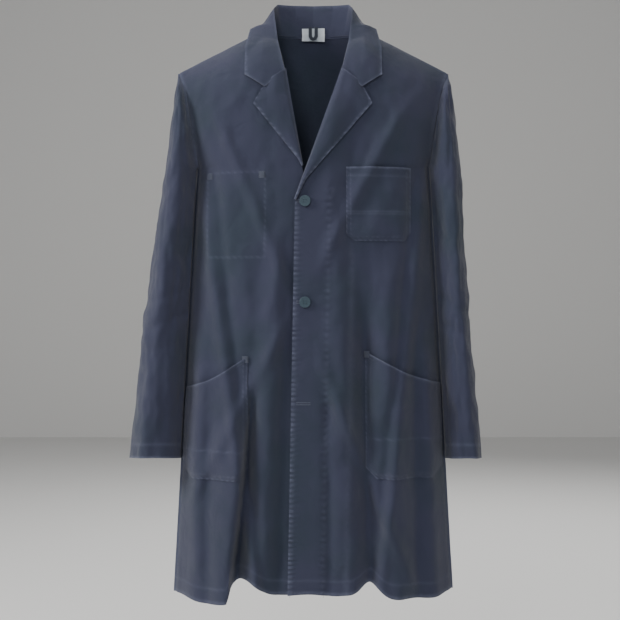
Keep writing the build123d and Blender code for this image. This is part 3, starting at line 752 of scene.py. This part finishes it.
# ---- Buttonholes -------------------------------------------------------
# Horizontal worked slits in the left front: dense stitches either side of the cut, with a near-black painted-shade
# material for it in a second slot.
# Painted shade: the cut's near-black material stands for the shadow inside the slit, not for a colour of the cloth.
slit_painted_shade = bpy.data.materials.new("buttonhole_cut_painted_shade")
slit_painted_shade.use_nodes = True
slit_painted_shade.node_tree.nodes["Principled BSDF"].inputs["Base Color"].default_value = (0.012, 0.014, 0.02, 1)
slit_painted_shade.node_tree.nodes["Principled BSDF"].inputs["Roughness"].default_value = 0.95
for number, z in enumerate((-327, -508, -689), 1):
    runs = []
    for k in range(26):
        x = -30.5 + k * 1.0
        for up in (0.6, -0.6):
            runs.append(on(left_cloth, [(x, z + up), (x, z + up * 5)], 1.0))
    body = "left_skirt" if number == 3 else "torso"
    hole = stitch_row(f"buttonhole_{number}_threads", runs, body=body, pitch=2.4, length=2.4, thread=1.0, material=pale_thread)
    # The painted-shade black for the cut goes in a second material slot.
    hole.data.materials.append(slit_painted_shade)
    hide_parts(f"buttonhole_{number}")

# ---- Buttons -----------------------------------------------------------
# Dark teal moulded buttons with a raised rim and four holes, sewn on with matching thread.
button_resin = bpy.data.materials.new("button_resin")
button_resin.use_nodes = True
resin = button_resin.node_tree.nodes["Principled BSDF"]
resin.inputs["Roughness"].default_value = 0.48
resin.inputs["Coat Weight"].default_value = 0.08
resin.inputs["Specular IOR Level"].default_value = 0.5
swirl = button_resin.node_tree.nodes.new("ShaderNodeTexNoise")
swirl.inputs["Scale"].default_value = 120.0
swirl.inputs["Distortion"].default_value = 2.0
marble = button_resin.node_tree.nodes.new("ShaderNodeMix")
marble.data_type = "RGBA"
marble.inputs["A"].default_value = (0.018, 0.040, 0.058, 1)
marble.inputs["B"].default_value = (0.040, 0.075, 0.100, 1)
grain = button_resin.node_tree.nodes.new("ShaderNodeTexCoord")
button_resin.node_tree.links.new(grain.outputs["Object"], swirl.inputs["Vector"])
button_resin.node_tree.links.new(swirl.outputs["Fac"], marble.inputs["Factor"])
button_resin.node_tree.links.new(marble.outputs["Result"], resin.inputs["Base Color"])
for node in ("button_1", "button_2", "button_3"):
    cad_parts[node].material_slots[0].material = button_resin
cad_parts["button_threads"].material_slots[0].material = edge_thread

# ---- Label and loop ----------------------------------------------------
# A plain woven label inside the back neck, and a narrow tape loop that hangs over it.
label_weave = twill("label_weave", (0.60, 0.66, 0.72), (0.8, 0.84, 0.88), (0.52, 0.58, 0.66), rib=1500, rough=0.7)
loop_tape = twill("loop_tape", (0.035, 0.042, 0.06), (0.09, 0.10, 0.13), (0.03, 0.038, 0.05), rib=2200)


def tape(name, path, width, material, body, node):
    """A narrow strip that follows a path, with a little curl across it."""
    rows, rub = [], []
    for t in spaced(0, 1, 1 / 30):
        x, y, z = along(path, t)
        ahead, behind = Vector(along(path, min(1, t + 0.02))), Vector(along(path, max(0, t - 0.02)))
        cross = (ahead - behind).cross(Vector((0, 1, 0))).normalized() * width / 2
        row = []
        for i in range(7):
            share = i / 3 - 1
            row.append((x + cross.x * share, y - 0.5 * (1 - share * share), z + cross.z * share))
        rows.append(row)
        rub.append([0.7, 0.2, 0, 0, 0, 0.2, 0.7])
    strip = make_sheet(name, rows, rub, material, thick=0.7)
    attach(strip, body)
    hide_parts(node)
    return strip


low, high = (Vector(corner) * 1000 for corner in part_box("neck_label"))
tape("neck_label_cloth", [(0, high.y, high.z), (0.3, low.y - 0.8, (low.z + high.z) / 2), (0, low.y - 0.3, low.z)],
     (high.x - low.x), label_weave, "torso", "neck_label")
low, high = (Vector(corner) * 1000 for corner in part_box("hang_loop"))
half = (high.x - low.x) / 2 - 3
tape("hang_loop_tape", [(-half, high.y, high.z), (-half, high.y, low.z + 9), (-half * 0.5, high.y - 0.4, low.z + 3.5),
                        (half * 0.5, high.y - 0.4, low.z + 3.5), (half, high.y, low.z + 9), (half, high.y, high.z)],
     6, loop_tape, "loop", "hang_loop")

# ---- Room, light and camera --------------------------------------------
# A plain pale floor and wall with soft light from above and both sides.
studio = bpy.data.materials.new("studio")
studio.use_nodes = True
studio.node_tree.nodes["Principled BSDF"].inputs["Base Color"].default_value = (0.78, 0.77, 0.75, 1)
studio.node_tree.nodes["Principled BSDF"].inputs["Roughness"].default_value = 0.9
for name, place, turn in (("floor", (0, 0, -1.30), (0, 0, 0)), ("backdrop", (0, 5.2, 0), (math.pi / 2, 0, 0))):
    bpy.ops.mesh.primitive_plane_add(size=24, location=place, rotation=turn)
    plane = bpy.context.object
    plane.name = name
    plane.data.materials.append(studio)
for name, place, size, power in (("key", (-2.7, -0.95, 1.0), 0.9, 82), ("fill", (1.6, -2.4, 0.5), 1.6, 12), ("front", (-0.9, -3.1, 0.9), 1.0, 32), ("top", (0, -0.4, 2.0), 1.2, 22),
                                 ("behind", (0.9, 2.6, 1.3), 1.6, 60)):
    light = bpy.data.lights.new(name, "AREA")
    light.size, light.energy = size, power
    lamp = bpy.data.objects.new(name, light)
    lamp.location = place
    lamp.rotation_euler = (Vector((0, 0, -0.5)) - Vector(place)).to_track_quat("-Z", "Y").to_euler()
    bpy.context.scene.collection.objects.link(lamp)
world = bpy.data.worlds.new("soft room")
world.use_nodes = True
world.node_tree.nodes["Background"].inputs["Color"].default_value = (0.95, 0.97, 1.0, 1)
world.node_tree.nodes["Background"].inputs["Strength"].default_value = 0.24
bpy.context.scene.world = world
lens = bpy.data.cameras.new("camera")
lens.lens = 70.8
camera = bpy.data.objects.new("camera", lens)
camera.location = (-0.006, -2.25, -0.522)
camera.rotation_euler = (math.pi / 2, 0, 0)
bpy.context.scene.collection.objects.link(camera)
bpy.context.scene.camera = camera
